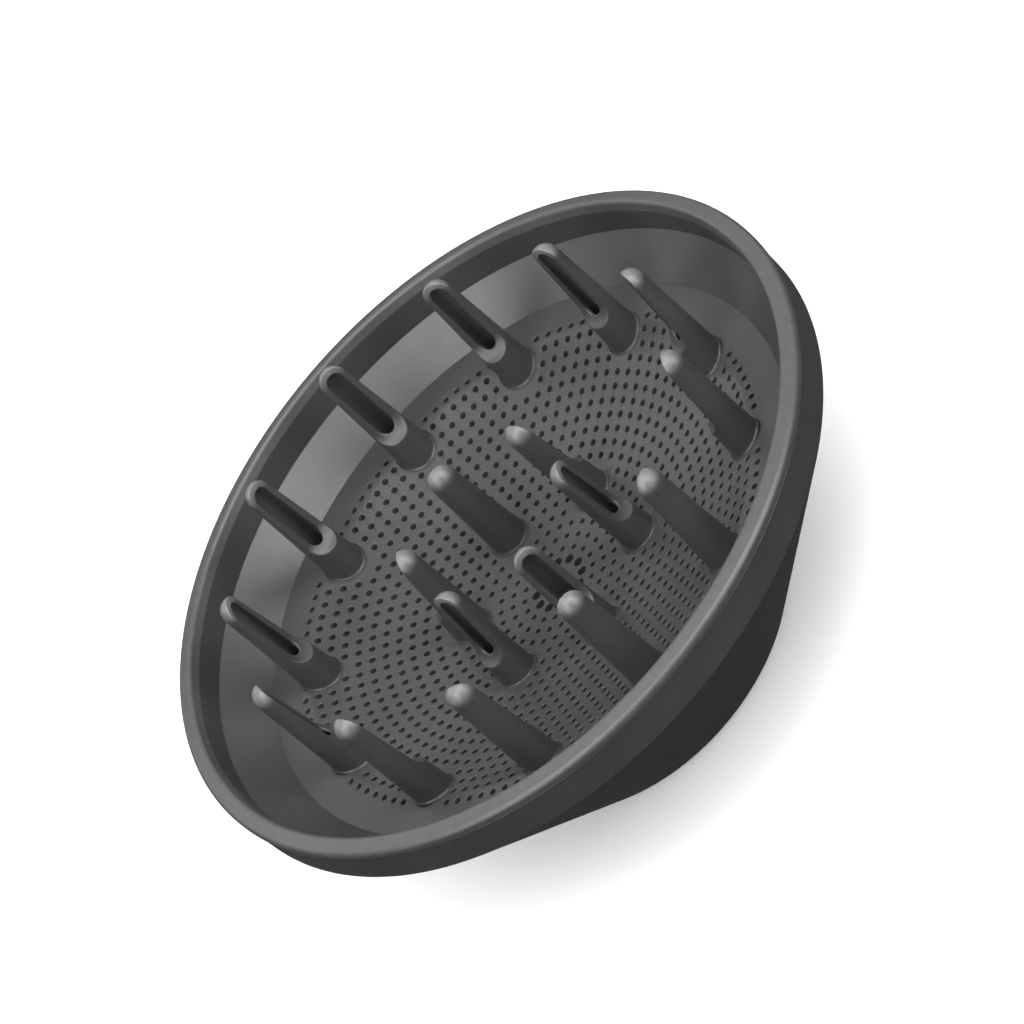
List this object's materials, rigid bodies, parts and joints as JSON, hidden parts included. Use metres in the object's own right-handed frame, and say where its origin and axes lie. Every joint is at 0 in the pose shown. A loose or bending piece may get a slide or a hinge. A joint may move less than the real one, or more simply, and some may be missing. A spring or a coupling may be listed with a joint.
{
  "type": "hair dryer diffuser",
  "caption": "Round hair dryer diffuser: a dished bowl with a finely perforated plate and hollow slotted tines, on a conical shell with a push-on neck.",
  "frame": {"origin": "centre of the neck's lower rim, the face that the part stands on when its tines point up", "axes": "+Z along the diffuser's axis from the neck to the open dish, +X through one outer tine"},
  "size_m": [0.14, 0.14, 0.0602],
  "materials": {
    "bowl_plastic": "satin dark grey",
    "plate_plastic": "satin dark grey",
    "shell_plastic": "satin dark grey",
    "tine_plastic": "satin dark grey",
    "neck_plastic": "fine matt black",
    "grip_rubber": "matt",
    "screw_steel": "zinc plated"
  },
  "bodies": {
    "root": {"outer_shell": "shell_plastic", "front_bowl": "bowl_plastic", "diffuser_plate": "plate_plastic", "outer_tine_01": "tine_plastic", "outer_tine_02": "tine_plastic", "outer_tine_03": "tine_plastic", "outer_tine_04": "tine_plastic", "outer_tine_05": "tine_plastic", "outer_tine_06": "tine_plastic", "outer_tine_07": "tine_plastic", "outer_tine_08": "tine_plastic", "outer_tine_09": "tine_plastic", "outer_tine_10": "tine_plastic", "outer_tine_11": "tine_plastic", "outer_tine_12": "tine_plastic", "inner_tine_01": "tine_plastic", "inner_tine_02": "tine_plastic", "inner_tine_03": "tine_plastic", "inner_tine_04": "tine_plastic", "inner_tine_05": "tine_plastic", "inner_tine_06": "tine_plastic", "air_baffle": "neck_plastic", "neck_collar": "neck_plastic", "grip_ring": "grip_rubber", "neck_screw_1": "screw_steel", "neck_screw_2": "screw_steel", "neck_screw_3": "screw_steel", "neck_screw_4": "screw_steel"}
  },
  "joints": []
}
